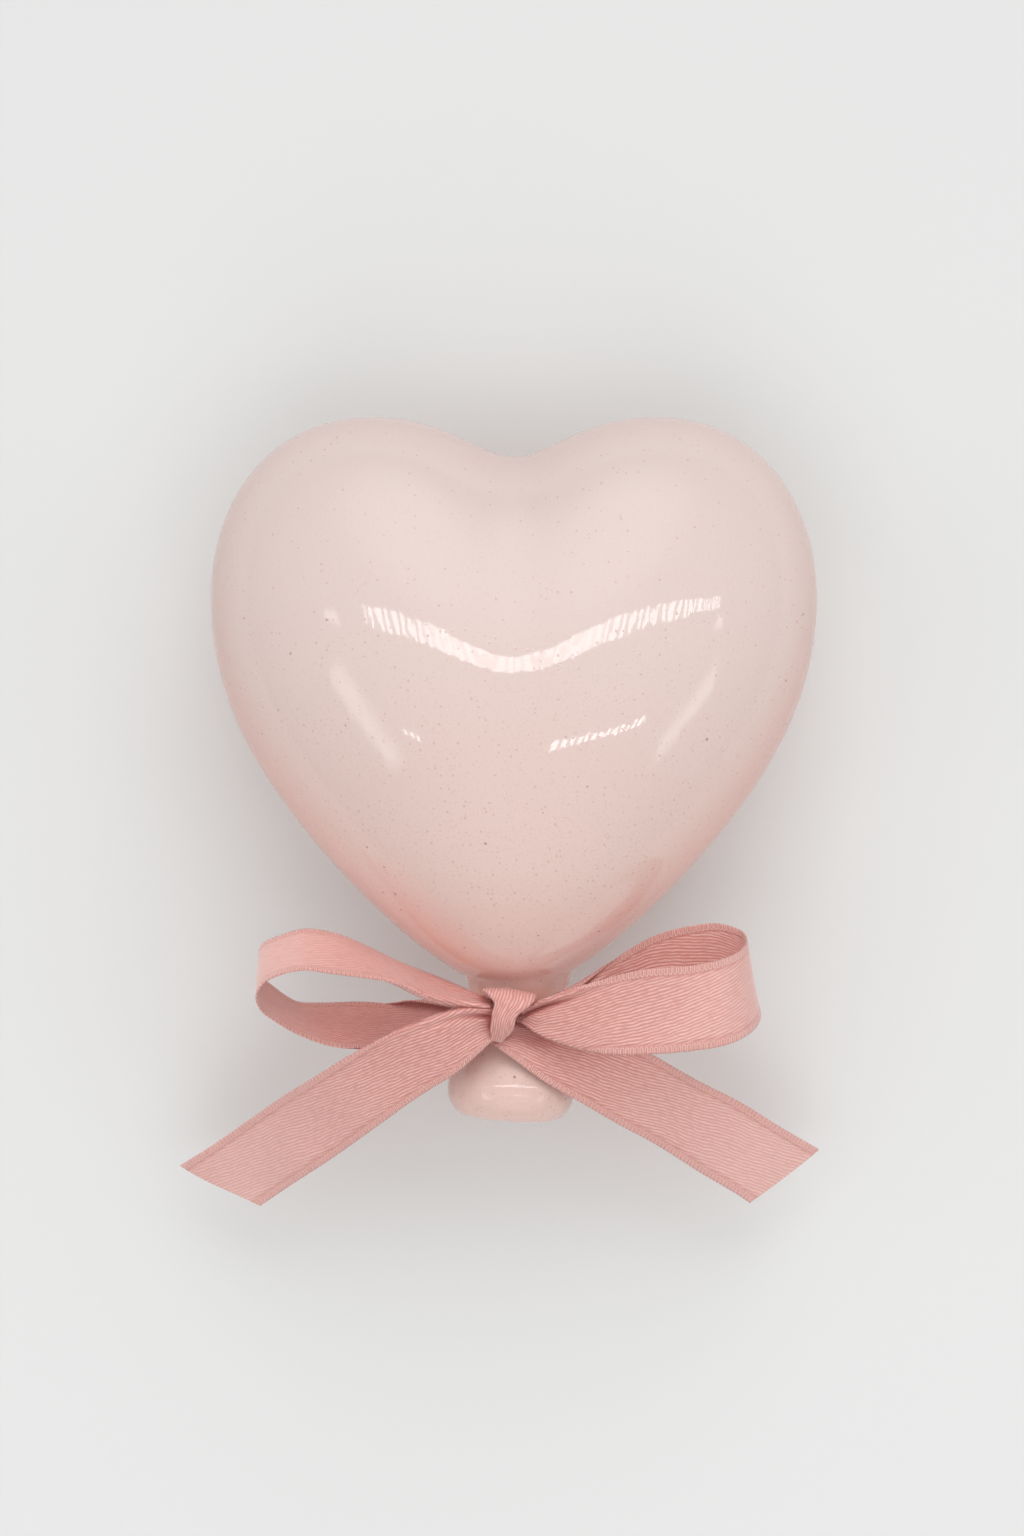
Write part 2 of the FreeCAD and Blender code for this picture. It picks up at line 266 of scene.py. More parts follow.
def speckles(n, place, scale, radius, share, y):
    """Spots in some of the cells of a Voronoi pattern; more of them towards the neck."""
    cells = n.add("ShaderNodeTexVoronoi", feature="F1")
    n.put(cells.inputs["Vector"], place)
    cells.inputs["Scale"].default_value = scale
    chance = n.add("ShaderNodeSeparateColor")
    n.put(chance.inputs[0], cells.outputs["Color"])
    wanted = n.between(y, 0.030, -0.040, share * 0.22, share)
    chosen = n.math("LESS_THAN", chance.outputs[0], wanted)
    size = n.math("MULTIPLY", chance.outputs[1], radius)
    size = n.math("ADD", size, radius)
    spot = n.math("SUBTRACT", 1.0, n.math("DIVIDE", cells.outputs["Distance"], size), clamp=True)
    spot = n.math("MULTIPLY", spot, 2.0, clamp=True)
    return n.math("MULTIPLY", spot, chosen)


def bare_clay(n, z, up):
    """1 on the wiped rims where lid and tray meet and on the ground foot, 0 on the glaze."""
    from_seam = n.math("ABSOLUTE", n.math("SUBTRACT", z, SEAM_Z))
    near_seam = n.math("LESS_THAN", from_seam, RIM_BAND)
    level = n.math("GREATER_THAN", n.math("ABSOLUTE", up), LEVEL)
    rim = n.math("MULTIPLY", near_seam, level)
    foot = n.math("LESS_THAN", z, FOOT_Z + 0.1 * MM)
    return n.math("MAXIMUM", rim, n.math("MULTIPLY", foot, level))


def rubber():
    """Matt warm grey non-slip rubber with a fine moulded grain."""
    n = Nodes("pad_rubber")
    place = n.add("ShaderNodeTexCoord").outputs["Object"]
    grain = n.noise(place, 3500.0, 4.0)
    patches = n.noise(place, 90.0, 2.0)
    colour = n.mix(patches, srgb(176, 170, 166), srgb(190, 184, 179))
    colour = n.mix(n.math("MULTIPLY", grain, 0.3), colour, srgb(150, 144, 141))
    n.put(n.shader.inputs["Base Color"], colour)
    n.shader.inputs["Roughness"].default_value = 0.78
    n.put(n.shader.inputs["Normal"], n.bump(grain, 0.4, 0.00012))
    return n.material


# ---------------------------------------------------------------- satin
def satin(name, light, dark, gleam):
    """Rose satin: fine wavy floats along the ribbon and a stitched selvedge along both edges.

    The UV map is in metres: u along the ribbon and v across it from its middle line.  The cloth
    varies between light and dark in patches, partly as painted sheen, and gleam is how far the
    floats stand out from it, partly as painted sheen.  It has painted shade near the knot and
    painted light towards the ends.
    """
    n = Nodes(name)
    uv = n.add("ShaderNodeUVMap").outputs[0]
    split = n.add("ShaderNodeSeparateXYZ")
    n.put(split.inputs[0], uv)
    u, v, _ = split.outputs

    sway = n.noise(n.stretched(uv, (480.0, 700.0, 1.0)), 1.0, 2.0)
    drift = n.noise(n.stretched(uv, (75.0, 60.0, 1.0)), 1.0, 1.0)
    askew = n.math("SUBTRACT", v, n.math("MULTIPLY", u, FLOAT_SLANT))
    lines = n.math("ADD", n.math("MULTIPLY", askew, FLOAT_LINES), n.math("MULTIPLY", sway, 6.0))
    lines = n.math("ADD", lines, n.math("MULTIPLY", drift, 18.0))
    floats = n.math("MULTIPLY", n.math("ADD", n.math("SINE", lines), 1.0), 0.5)
    broken = n.noise(n.stretched(uv, (620.0, 1800.0, 1.0)), 1.0, 2.0)
    floats = n.math("MULTIPLY", floats, n.between(broken, 0.30, 0.58, 0.50, 1.0))
    streak = n.noise(n.stretched(uv, (120.0, 2600.0, 1.0)), 1.0, 3.0)
    patch = n.between(n.noise(n.stretched(uv, (50.0, 70.0, 1.0)), 1.0, 1.0), 0.25, 0.75)

    edge = n.math("SUBTRACT", RIBBON_WIDTH / 2, n.math("ABSOLUTE", v))
    selvedge = n.between(edge, *SELVEDGE)
    stitch = u_stitches(n, u, edge)
    body = n.math("SUBTRACT", 1.0, selvedge)

    from_knot = n.add("ShaderNodeVectorMath", operation="DISTANCE")
    n.put(from_knot.inputs[0], n.add("ShaderNodeTexCoord").outputs["Object"])
    from_knot.inputs[1].default_value = KNOT
    knot_shade = n.between(from_knot.outputs["Value"], *NEAR_KNOT)
    far_light = n.between(from_knot.outputs["Value"], *FAR_FROM_KNOT)

    # patches between light and dark cloth: random tone and painted sheen
    colour = n.mix(patch, dark, light)
    # painted shade near the knot
    colour = n.mix(n.math("MULTIPLY", knot_shade, 0.35), colour, srgb(203, 130, 121))
    # the floats of the weave, paler partly as painted sheen
    shine = n.math("MULTIPLY", n.math("MULTIPLY", floats, body), gleam)
    colour = n.mix(shine, colour, srgb(248, 211, 204))
    # gaps between the floats, deeper near the knot as painted shade
    gap_depth = n.math("ADD", n.math("MULTIPLY", knot_shade, 0.22), 0.26)
    gap = n.math("MULTIPLY", n.math("SUBTRACT", 1.0, floats), gap_depth)
    colour = n.mix(n.math("MULTIPLY", gap, body), colour, srgb(180, 104, 95))
    colour = n.mix(n.math("MULTIPLY", streak, 0.15), colour, srgb(205, 136, 127))
    # painted light: paler towards the ends
    colour = n.mix(n.math("MULTIPLY", far_light, 0.36), colour, srgb(230, 194, 187))
    off_groove = n.math("ABSOLUTE", n.math("SUBTRACT", edge, GROOVE))
    groove = n.between(off_groove, 0.22 * MM, 0.08 * MM)
    colour = n.mix(n.math("MULTIPLY", selvedge, 0.45), colour, srgb(207, 139, 130))
    colour = n.mix(n.math("MULTIPLY", groove, 0.20), colour, srgb(188, 116, 107))
    colour = n.mix(n.math("MULTIPLY", stitch, 0.70), colour, srgb(238, 188, 180))
    # painted shade in folds and creases, from ambient occlusion
    crease_occlusion = n.add("ShaderNodeAmbientOcclusion", samples=8)
    crease_occlusion.inputs["Distance"].default_value = CREASE_REACH
    depth = n.between(crease_occlusion.outputs["AO"], 0.96, 0.36, 0.0, 0.95)
    n.put(n.shader.inputs["Base Color"], n.mix(depth, colour, srgb(160, 78, 70)))

    n.put(n.shader.inputs["Roughness"], n.between(streak, 0.2, 0.8, 0.34, 0.46))
    n.shader.inputs["Specular IOR Level"].default_value = 0.6
    n.shader.inputs["Anisotropic"].default_value = 0.5
    n.shader.inputs["Sheen Weight"].default_value = 0.7
    n.shader.inputs["Sheen Roughness"].default_value = 0.4
    n.shader.inputs["Sheen Tint"].default_value = srgb(255, 238, 233)
    tangent = n.add("ShaderNodeTangent", direction_type="UV_MAP")
    n.put(n.shader.inputs["Tangent"], tangent.outputs[0])

    normal = n.bump(n.math("MULTIPLY", floats, body), 0.5, 0.00010)
    raised = n.math("SUBTRACT", stitch, n.math("MULTIPLY", groove, 0.4))
    normal = n.bump(raised, 0.7, 0.00020, normal)
    n.put(n.shader.inputs["Normal"], normal)
    return n.material


def u_stitches(n, u, edge):
    """Rows of small U-shaped stitches in the selvedge, none quite like the next."""
    uneven = n.math("MULTIPLY", n.noise(n.math("MULTIPLY", u, 900.0), 1.0, 1.0), 0.5)
    step = n.math("FRACT", n.math("ADD", n.math("DIVIDE", u, PICOT_PITCH), uneven))
    x = n.math("MULTIPLY", n.math("ABSOLUTE", n.math("SUBTRACT", step, 0.5)), PICOT_PITCH)
    y = n.math("SUBTRACT", edge, STITCH_ROW)
    radius = PICOT_PITCH * 0.30
    bowl = n.math("SQRT", n.math("ADD", n.math("MULTIPLY", x, x), n.math("MULTIPLY", y, y)))
    off_bowl = n.math("ABSOLUTE", n.math("SUBTRACT", bowl, radius))
    off_leg = n.math("ABSOLUTE", n.math("SUBTRACT", x, radius))
    above = n.math("GREATER_THAN", y, 0.0)
    nearest = n.add("ShaderNodeMix", data_type="FLOAT")
    n.put(nearest.inputs[0], above)
    n.put(nearest.inputs[2], off_leg)
    n.put(nearest.inputs[3], off_bowl)
    line = n.between(nearest.outputs[0], *STITCH_THREAD)
    return n.math("MULTIPLY", line, n.between(edge, 1.25 * MM, 1.15 * MM))


# ---------------------------------------------------------------- ribbon geometry
def through(points, count):
    """A smooth path through the points, resampled at count even steps along its middle line.

    Each point holds the place of the first edge and then that of the second.
    """
    knots = np.array(points, float)
    half = knots.shape[1] // 2
    middle = (knots[:, :half] + knots[:, half:]) / 2
    steps = np.linalg.norm(np.diff(middle, axis=0), axis=1)
    at = np.concatenate([[0.0], np.cumsum(steps)])
    slope = np.gradient(knots, at, axis=0)
    fine = np.linspace(0, at[-1], STEPS_PER_STATION * len(knots))
    cell = np.clip(np.searchsorted(at, fine, side="right") - 1, 0, len(at) - 2)
    width = (at[cell + 1] - at[cell])[:, None]
    t = (fine - at[cell])[:, None] / width
    curve = (
        (2 * t**3 - 3 * t**2 + 1) * knots[cell]
        + (t**3 - 2 * t**2 + t) * width * slope[cell]
        + (3 * t**2 - 2 * t**3) * knots[cell + 1]
        + (t**3 - t**2) * width * slope[cell + 1]
    )
    middle = (curve[:, :half] + curve[:, half:]) / 2
    run = np.concatenate([[0.0], np.cumsum(np.linalg.norm(np.diff(middle, axis=0), axis=1))])
    even = np.linspace(0, run[-1], count)
    return even, np.stack([np.interp(even, run, column) for column in curve.T], axis=1)


def ribbon(name, stations, tuck, face=1, depth=0.9, ridge=0.0, crown=0.0, creasing=0.022,
           cut=0.0, seed=1):
    """A strip of ribbon between two edges.

    stations are pairs of points in millimetres from the middle of the knot, one on each edge.
    Where the edges come closer than the ribbon is wide, the spare width is turned under at the
    first and second margins in the two shares of tuck, depth millimetres down.  There creasing
    pulls soft lengthwise creases into it, and ridge rolls up the first margin.  crown bulges the
    middle by that many millimetres, and cut shortens the second edge by that many for a slanted
    end.  Looking along the side to be seen, the first edge is on the left where face is 1 and
    on the right where it is -1.
    """
    origin = np.array(KNOT)
    edges = [[*(np.array(a) * MM + origin), *(np.array(b) * MM + origin)] for a, b in stations]
    run, line = through(edges, PATH_STEPS)
    length = run[-1]
    rows = int(length / (PICOT_PITCH / ROWS_PER_PICOT))
    across = np.linspace(0, 1, RIBBON_COLUMNS + 1)
    end = length - cut * MM * across
    place = np.linspace(0, 1, rows + 1)[:, None] * end[None, :]
    first = np.stack([np.interp(place, run, line[:, k]) for k in range(3)], axis=-1)
    second = np.stack([np.interp(place, run, line[:, k + 3]) for k in range(3)], axis=-1)

    middle = (line[:, :3] + line[:, 3:]) / 2
    ahead = np.gradient(middle, run, axis=0)
    side = line[:, :3] - line[:, 3:]
    square = np.cross(ahead, side) * face
    square /= np.linalg.norm(square, axis=1)[:, None]
    square = np.stack([np.interp(place, run, square[:, k]) for k in range(3)], axis=-1)

    apart = np.linalg.norm(first - second, axis=-1)
    spare = np.clip(FLAT_ABOVE * RIBBON_WIDTH - apart, 0, None)
    share, lift = tucked(apart, spare, across, tuck, depth * MM)
    phase = 2 * np.pi * (CREASES_ACROSS * share + 0.35 * seed)
    lift += creasing * spare * np.sin(phase + 0.4 * np.sin(place * 160 + seed))
    inward = share * apart / MM
    lift += ridge * spare * (bell(inward, *ROLL) - 0.8 * bell(inward, *ROLL_GROOVE))
    lift += crown * MM * (1 - (2 * share - 1) ** 2)
    lift += waviness(place, across, seed)

    open_flat = spare < 0.2 * MM
    scallop = SCALLOP * np.abs(np.sin(np.pi * place / PICOT_PITCH)) * open_flat
    outward = (first - second) / apart[..., None]
    at_edge = np.zeros(RIBBON_COLUMNS + 1)
    at_edge[0], at_edge[-1] = 1.0, -1.0
    points = first * (1 - share[..., None]) + second * share[..., None]
    points = points + square * lift[..., None] + outward * (scallop * at_edge)[..., None]
    return strip_object(name, points, place, (0.5 - across) * RIBBON_WIDTH, length, -face)


def tucked(apart, spare, across, shares, depth):
    """Spare width turned under at the two margins, each with a rounded fold.

    Gives each column's place between the edges, as a share, and its lift.
    """
    under = [np.minimum(spare * share, 0.7 * apart) for share in shares]
    walk = across[None, :] * (apart + under[0] + under[1]) - under[0]
    past_first = np.clip(-walk, 0, None)
    past_second = np.clip(walk - apart, 0, None)
    share = np.where(walk < 0, -walk, np.where(walk > apart, 2 * apart - walk, walk)) / apart
    lift = np.zeros_like(apart)
    for past, inside, margin in (
        (past_first, walk, under[0]),
        (past_second, apart - walk, under[1]),
    ):
        folded = np.clip(margin / FOLD_FULL, 0, 1)
        lift -= depth * smooth(past / FOLD_REACH)
        rounding = np.exp(-np.clip(inside, 0, None) / FOLD_ROUND)
        lift -= depth / 3 * folded * rounding * (past <= 0)
        lift -= depth / 3 * folded * (past > 0)
    return share, lift


def bell(value, middle, width):
    return np.exp(-((value - middle) / width) ** 2)


def smooth(value):
    value = np.clip(value, 0, 1)
    return value * value * (3 - 2 * value)


def waviness(place, across, seed):
    """Slight unevenness of a hand-tied ribbon."""
    random = np.random.default_rng(seed)
    lift = np.zeros_like(place)
    for _ in range(5):
        waves, tilt, start = random.uniform(120, 420), random.uniform(-4, 4), random.uniform(0, 6)
        lift += WAVES * np.sin(place * waves + tilt * across[None, :] + start)
    return lift


def strip_object(name, points, u, v, length, back):
    """A mesh of the strip with its thickness.

    back is 1 where the mesh's own side is the face of the cloth, and -1 where it is the back.
    """
    rows, columns = points.shape[0], points.shape[1]
    index = np.arange(rows * columns).reshape(rows, columns)
    quads = np.stack([index[:-1, :-1], index[1:, :-1], index[1:, 1:], index[:-1, 1:]], axis=-1)
    mesh = bpy.data.meshes.new(name)
    mesh.from_pydata(points.reshape(-1, 3).tolist(), [], quads.reshape(-1, 4).tolist())
    mesh.shade_smooth()
    layer = mesh.uv_layers.new(name="UVMap")
    corner = np.empty(len(mesh.loops), np.int32)
    mesh.loops.foreach_get("vertex_index", corner)
    flat = np.stack([u.reshape(-1), np.broadcast_to(v, u.shape).reshape(-1)], axis=-1)
    layer.data.foreach_set("uv", flat[corner].reshape(-1).astype(np.float32))
    piece = bpy.data.objects.new(name, mesh)
    bpy.context.scene.collection.objects.link(piece)
    solid = piece.modifiers.new("thickness", "SOLIDIFY")
    solid.thickness = RIBBON_THICKNESS
    solid.offset = 0.0
    mesh.materials.append(SATIN_FACE)
    mesh.materials.append(SATIN_BACK)
    solid.material_offset = back
    if back < 0:
        mesh.polygons.foreach_set("material_index", [1] * len(mesh.polygons))
    piece["length"] = float(length)
    return piece


def finish_ribbon(piece, node):
    """Declares one strip: it rides on the lid and stands for one node of the bow."""
    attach(piece, "lid")
    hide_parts(node)


# Both edges of each strip, in millimetres from the middle of the knot.
LOOP_LEFT = [
    ((-2.5, 2.0, 2.5), (-2.5, 3.0, -0.5)),
    ((-7.5, 3.0, 3.5), (-7.0, 5.0, -2.5)),
    ((-12.0, 4.0, 5.0), (-12.0, 7.0, -4.0)),
    ((-16.5, 5.5, 6.5), (-17.0, 9.0, -4.0)),
    ((-21.0, 6.5, 7.5), (-21.5, 11.0, -3.5)),
    ((-26.5, 7.5, 8.5), (-27.0, 13.0, -2.5)),
    ((-31.5, 8.0, 8.5), (-32.0, 13.5, -2.5)),
    ((-35.0, 7.0, 8.0), (-35.5, 12.5, -3.0)),
    ((-37.5, 5.5, 7.0), (-38.5, 11.0, -4.0)),
    ((-38.5, 3.5, 6.0), (-39.0, 8.5, -5.5)),
    ((-38.0, 1.5, 4.5), (-39.0, 6.5, -7.0)),
    ((-36.0, -0.5, 3.0), (-37.0, 4.5, -8.0)),
    ((-33.0, -2.5, 2.0), (-33.5, 2.0, -9.0)),
    ((-29.0, -4.0, 0.5), (-30.0, 1.5, -10.0)),
    ((-23.0, -4.5, -1.0), (-23.5, 1.5, -11.5)),
    ((-16.5, -4.0, -1.5), (-17.0, 1.5, -11.0)),
    ((-10.5, -2.0, -1.5), (-10.5, 2.0, -8.0)),
    ((-3.5, 0.0, -1.0), (-3.0, 1.5, -3.5)),
]
LOOP_RIGHT = [
    ((2.5, 2.0, 1.0), (2.0, -0.5, 1.0)),
    ((6.5, 3.5, 2.5), (4.0, -2.0, 1.5)),
    ((10.5, 5.0, 4.5), (9.0, -4.0, 3.5)),
    ((15.0, 6.5, 6.5), (14.0, -5.0, 5.5)),
    ((21.5, 8.0, 8.0), (21.5, -5.0, 7.0)),
    ((28.0, 8.5, 8.0), (28.0, -4.5, 7.0)),
    ((33.0, 9.5, 6.5), (34.0, -3.5, 6.0)),
    ((35.5, 10.5, 4.0), (37.5, -2.0, 3.5)),
    ((37.0, 12.0, 0.5), (39.5, 0.0, 0.0)),
    ((36.5, 13.5, -3.0), (39.0, 2.0, -3.5)),
    ((33.0, 14.5, -5.0), (35.5, 2.5, -5.5)),
    ((28.5, 14.0, -5.5), (31.0, 1.5, -6.0)),
    ((23.0, 12.5, -5.0), (25.0, 0.0, -5.5)),
    ((17.5, 9.5, -3.5), (19.0, -2.0, -4.5)),
    ((11.0, 5.5, -2.0), (13.0, -3.5, -3.0)),
    ((6.0, 3.0, -1.0), (6.0, -2.0, -1.5)),
    ((3.5, 2.0, -0.5), (2.0, 0.0, -1.0)),
]
TAIL_LEFT = [
    ((-2.0, 2.0, 1.5), (-2.0, -3.0, 1.0)),
    ((-6.0, 2.0, 2.5), (-4.5, -5.5, 1.0)),
    ((-10.5, 1.0, 3.0), (-8.0, -8.5, 0.5)),
    ((-16.5, -1.5, 2.5), (-12.0, -11.0, -0.5)),
    ((-23.0, -5.0, 0.5), (-17.0, -14.5, -2.5)),
    ((-32.5, -11.0, -7.0), (-26.0, -21.5, -8.5)),
    ((-39.5, -16.0, -14.0), (-33.0, -26.5, -14.5)),
    ((-47.0, -21.5, -19.5), (-40.5, -32.0, -20.0)),
    ((-53.0, -25.5, -24.0), (-46.5, -36.5, -24.5)),
]
TAIL_RIGHT = [
    ((1.5, -1.0, -2.0), (-2.5, -4.0, -0.5)),
    ((6.0, -1.5, -3.5), (1.0, -6.5, -0.5)),
    ((13.0, -1.0, -5.5), (6.0, -10.0, -1.0)),
    ((17.0, -3.0, -6.5), (11.0, -13.0, -3.0)),
    ((23.0, -6.5, -8.5), (16.5, -16.5, -6.0)),
    ((30.5, -11.0, -13.0), (24.0, -21.0, -11.0)),
    ((37.0, -14.5, -16.5), (30.5, -25.5, -15.5)),
    ((44.0, -19.0, -20.0), (37.5, -30.0, -19.5)),
    ((50.5, -23.0, -24.0), (44.0, -35.0, -24.0)),
]
KNOT_WRAP = [
    ((-2.4, 2.4, -1.8), (3.0, 2.2, -1.8)),
    ((-3.4, 4.0, -0.6), (4.0, 3.0, -0.6)),
    ((-3.9, 4.8, 1.0), (4.6, 3.5, 1.2)),
    ((-3.6, 4.7, 2.2), (4.4, 3.2, 2.4)),
    ((-2.7, 3.7, 3.1), (3.5, 2.2, 3.4)),
    ((-2.0, 2.6, 3.5), (2.1, 1.3, 3.8)),
    ((-2.3, 0.9, 3.7), (1.2, 0.2, 3.9)),
    ((-2.5, -0.8, 3.4), (1.0, -0.9, 3.5)),
    ((-2.5, -2.1, 2.6), (0.9, -1.7, 2.7)),
    ((-2.5, -3.5, 1.2), (0.5, -2.5, 1.3)),
    ((-2.5, -3.6, -0.6), (0.5, -2.6, -0.6)),
    ((-2.5, -1.6, -1.8), (0.8, -1.4, -1.8)),
]


def turn_stations():
    """The gathered turn of ribbon round the neck, in millimetres from the knot."""
    axis = np.array([-math.sin(NECK_LEAN), -math.cos(NECK_LEAN), 0.0])
    sideways = np.array([math.cos(NECK_LEAN), -math.sin(NECK_LEAN), 0.0])
    middle = (np.array(TURN) - np.array(KNOT)) / MM
    stations = []
    for i in range(TURN_STEPS + 1):
        angle = math.radians(90 + 360 * i / TURN_STEPS)
        out = sideways * math.cos(angle) + np.array([0, 0, 1.0]) * math.sin(angle)
        ring = middle + out * TURN_RADIUS
        stations.append((tuple(ring - axis * TURN_HALF_WIDTH), tuple(ring + axis * TURN_HALF_WIDTH)))
    return stations


# ---------------------------------------------------------------- stage
AMBIENT = 0.36                          # strength of the even surroundings
WINDOW_GLOW = 0.9                       # what the window adds to it
WINDOW_TILT = math.radians(50)          # of the soft window's middle above the floor
WINDOW_FADE = (math.radians(36), math.radians(8))  # off its middle, begins and is full
CARD_HEIGHT = 0.9                       # metres above the floor
FLOOR_SIZE = 6.0                        # metres
LENS = 85                               # millimetres
CAMERA_PLACE = (-0.0003, -0.0124, 0.5997)  # over the middle of the box and its bow


def floor():
    """Plain pale floor."""
    n = Nodes("floor_paint")
    place = n.add("ShaderNodeTexCoord").outputs["Object"]
    tone = n.noise(place, 6.0, 2.0)
    n.put(n.shader.inputs["Base Color"], n.mix(tone, srgb(227, 228, 227), srgb(230, 231, 230)))
    n.shader.inputs["Roughness"].default_value = 0.8
    n.shader.inputs["Specular IOR Level"].default_value = 0.2
    bpy.ops.mesh.primitive_plane_add(size=FLOOR_SIZE, location=(0, 0, 0))
    plane = bpy.context.object
    plane.name = "floor"
    plane.data.materials.append(n.material)


def studio_world():
    """Even white surroundings, brighter towards a large soft window beyond the cleft."""
    world = bpy.data.worlds.new("studio")
    bpy.context.scene.world = world
    world.use_nodes = True
    tree = world.node_tree
    direction = tree.nodes.new("ShaderNodeTexCoord").outputs["Generated"]
    towards = tree.nodes.new("ShaderNodeVectorMath")
    towards.operation = "DOT_PRODUCT"
    tree.links.new(direction, towards.inputs[0])
    towards.inputs[1].default_value = (0.0, math.sin(WINDOW_TILT), math.cos(WINDOW_TILT))
    glow = tree.nodes.new("ShaderNodeMapRange")
    glow.interpolation_type = "SMOOTHSTEP"
    glow.inputs["From Min"].default_value = math.cos(WINDOW_FADE[0])
    glow.inputs["From Max"].default_value = math.cos(WINDOW_FADE[1])
    glow.inputs["To Min"].default_value = AMBIENT
    glow.inputs["To Max"].default_value = AMBIENT + WINDOW_GLOW
    tree.links.new(towards.outputs["Value"], glow.inputs["Value"])
    background = tree.nodes["Background"]
    background.inputs["Color"].default_value = (1.0, 1.0, 1.0, 1.0)
    tree.links.new(glow.outputs[0], background.inputs["Strength"])


def soft_lamp(name, place, size, power, only_on=None, shaded_by=None):
    """A large lamp aimed at the box, which the glaze does not mirror.

    With only_on it lights that collection alone, gloss too.  With shaded_by only the things in
    that collection throw shadows in its light.
    """
    data = bpy.data.lights.new(name, "AREA")
    data.size = size
    data.energy = power
    lamp = bpy.data.objects.new(name, data)
    lamp.location = place
    lamp.rotation_euler = (-lamp.location).to_track_quat("-Z", "Y").to_euler()
    lamp.visible_glossy = only_on is not None
    lamp.visible_camera = False
    lamp.light_linking.receiver_collection = only_on
    lamp.light_linking.blocker_collection = shaded_by
    bpy.context.scene.collection.objects.link(lamp)


def card(name, start, end, width, strength, stripes=0, bend=0.34, blur=0.12):
    """A strip of light between two points at the cards' height, seen only in reflections."""
    start, end = Vector((*start, CARD_HEIGHT)), Vector((*end, CARD_HEIGHT))
    side = (end - start).cross(Vector((0, 0, 1))).normalized() * width / 2
    mesh = bpy.data.meshes.new(name)
    mesh.from_pydata([start - side, end - side, end + side, start + side], [], [(0, 1, 2, 3)])
    layer = mesh.uv_layers.new(name="UVMap")
    for corner, place in zip(layer.data, ((0, 0), (1, 0), (1, 1), (0, 1))):
        corner.uv = place
    mesh.materials.append(card_light(name, strength, stripes, bend, blur))
    piece = bpy.data.objects.new(name, mesh)
    bpy.context.scene.collection.objects.link(piece)
    for ray in ("camera", "diffuse", "transmission", "volume_scatter", "shadow"):
        setattr(piece, "visible_" + ray, False)


def card_light(name, strength, stripes, bend, blur):
    """Light that fades at the edges, by blur along the sides and a third of it at the ends.

    stripes is the number of dark slats across it.  They are faintest at bend.
    """
    n = Nodes(name + "_light")
    split = n.add("ShaderNodeSeparateXYZ")
    n.put(split.inputs[0], n.add("ShaderNodeUVMap").outputs[0])
    u, v, _ = split.outputs
    from_middle = [n.math("ABSOLUTE", n.math("SUBTRACT", axis, 0.5)) for axis in (u, v)]
    power = n.math(
        "MULTIPLY",
        n.between(from_middle[0], 0.5, 0.5 - blur / 3),
        n.between(from_middle[1], 0.5, 0.5 - blur),
    )
    if stripes:
        slats = n.math("SINE", n.math("MULTIPLY", u, 2 * math.pi * stripes))
        from_bend = n.math("ABSOLUTE", n.math("SUBTRACT", u, bend))
        depth = n.between(from_bend, 0.04, 0.16, 0.3, 0.85)
        dark = n.math("MULTIPLY", n.between(slats, -0.2, 0.5), depth)
        power = n.math("MULTIPLY", power, n.math("SUBTRACT", 1.0, dark))
    glow = n.add("ShaderNodeEmission")
    n.put(glow.inputs["Strength"], n.math("MULTIPLY", power, strength))
    both = n.add("ShaderNodeAddShader")
    n.put(both.inputs[0], n.add("ShaderNodeBsdfTransparent").outputs[0])
    n.put(both.inputs[1], glow.outputs[0])
    output = n.tree.nodes["Material Output"]
    n.tree.links.new(both.outputs[0], output.inputs["Surface"])
    return n.material


def group(name, pieces):
    """A collection of things that a lamp can be told to light or to be shaded by."""
    collection = bpy.data.collections.new(name)
    for piece in pieces:
        collection.objects.link(piece)
    return collection


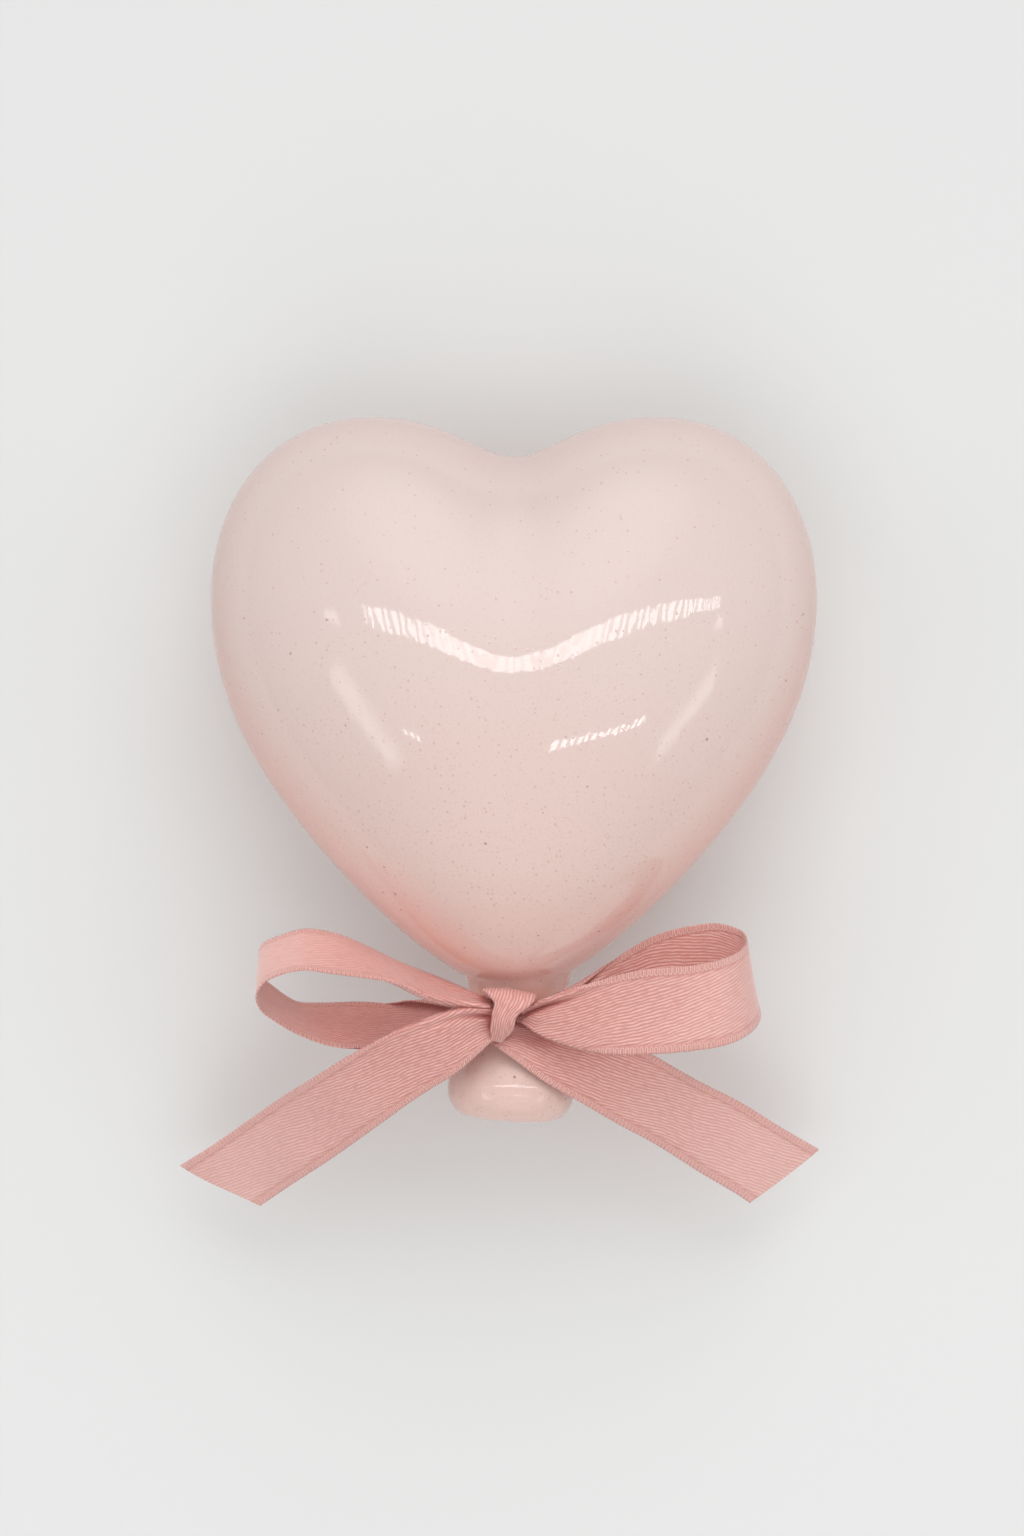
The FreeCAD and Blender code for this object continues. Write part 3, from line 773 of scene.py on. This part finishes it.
def lights():
    """Soft lamps for the body colour, and cards for the reflections of windows in the glaze."""
    studio_world()
    bow = group("bow", (turn, loop_left, loop_right, tail_left, tail_right, knot))
    bench = group("bench", [bpy.data.objects["floor"]])
    soft_lamp("window", (0.3, 1.0, 1.0), 1.2, 4.4)
    soft_lamp("ceiling", (0.0, -0.1, 1.3), 1.0, 1.1)
    soft_lamp("front", (0.0, -1.0, 1.0), 1.2, 0.8)
    soft_lamp("fill", (0.0, -0.8, 1.1), 1.2, 6.0, shaded_by=bench)
    soft_lamp("left", (-1.0, 0.0, 1.0), 1.2, 2.7)
    soft_lamp("right", (1.0, 0.0, 1.0), 1.2, 2.7)
    soft_lamp("satin_window", (-0.4, 1.2, 0.35), 0.8, 5.5, only_on=bow, shaded_by=bench)
    soft_lamp("satin_left", (-1.2, 0.0, 0.5), 0.6, 0.9, only_on=bow)
    soft_lamp("satin_right", (1.2, 0.0, 0.5), 0.6, 1.5, only_on=bow)
    card("window_blind", (-0.62, 0.25), (1.25, 0.27), 0.110, 6.2, stripes=34)
    card("low_blind_right", (0.03, -0.135), (0.76, -0.27), 0.030, 8.0, stripes=14, bend=-1.0)
    card("low_blind_left", (-0.60, -0.25), (-0.45, -0.25), 0.026, 8.0, stripes=3, bend=-1.0)
    card("wall_left", (-1.10, -0.10), (-0.80, -0.55), 0.55, 2.2, blur=0.5)
    card("wall_right", (1.60, -0.25), (1.10, -0.65), 0.60, 2.2, blur=0.5)
    card("gap_left", (-1.00, 0.19), (-0.80, 0.19), 0.14, 2.5, blur=0.5)
    card("gap_right", (1.15, 0.12), (1.40, 0.12), 0.16, 2.5, blur=0.5)


def camera():
    """Looks straight down from above the middle of the box."""
    data = bpy.data.cameras.new("camera")
    data.lens = LENS
    view = bpy.data.objects.new("camera", data)
    view.location = CAMERA_PLACE
    bpy.context.scene.collection.objects.link(view)
    bpy.context.scene.camera = view


# ---------------------------------------------------------------- assembly
SATIN_FACE = satin("satin_face", srgb(217, 159, 150), srgb(206, 142, 133), 0.54)
SATIN_BACK = satin("satin_back", srgb(216, 148, 138), srgb(206, 135, 125), 0.56)
GLAZE = glaze()
RUBBER = rubber()

for node, material in (("lid_dome", GLAZE), ("tray", GLAZE), ("foot_pad", RUBBER)):
    mesh = nodes[node].data
    mesh.materials.clear()
    mesh.materials.append(material)

BOTH, UPPER, MOSTLY_LOWER = (0.5, 0.5), (1.0, 0.0), (0.25, 0.75)  # margins turned under
turn = ribbon("satin_turn", turn_stations(), BOTH, face=-1, depth=0.45, creasing=0.05, seed=2)
loop_left = ribbon("satin_loop_left", LOOP_LEFT, BOTH, seed=3)
loop_right = ribbon("satin_loop_right", LOOP_RIGHT, MOSTLY_LOWER, ridge=0.16, seed=4)
tail_left = ribbon("satin_tail_left", TAIL_LEFT, UPPER, face=-1, ridge=0.14, cut=9.5, seed=5)
tail_right = ribbon("satin_tail_right", TAIL_RIGHT, UPPER, cut=7.0, seed=6)
knot = ribbon("satin_knot", KNOT_WRAP, BOTH, face=-1, crown=0.35, creasing=0.02, seed=7)
finish_ribbon(turn, "ribbon_turn")
finish_ribbon(loop_left, "ribbon_loop_left")
finish_ribbon(loop_right, "ribbon_loop_right")
finish_ribbon(tail_left, "ribbon_tail_left")
finish_ribbon(tail_right, "ribbon_tail_right")
finish_ribbon(knot, "ribbon_knot")

floor()
lights()
camera()
bpy.context.scene.view_settings.view_transform = "Standard"
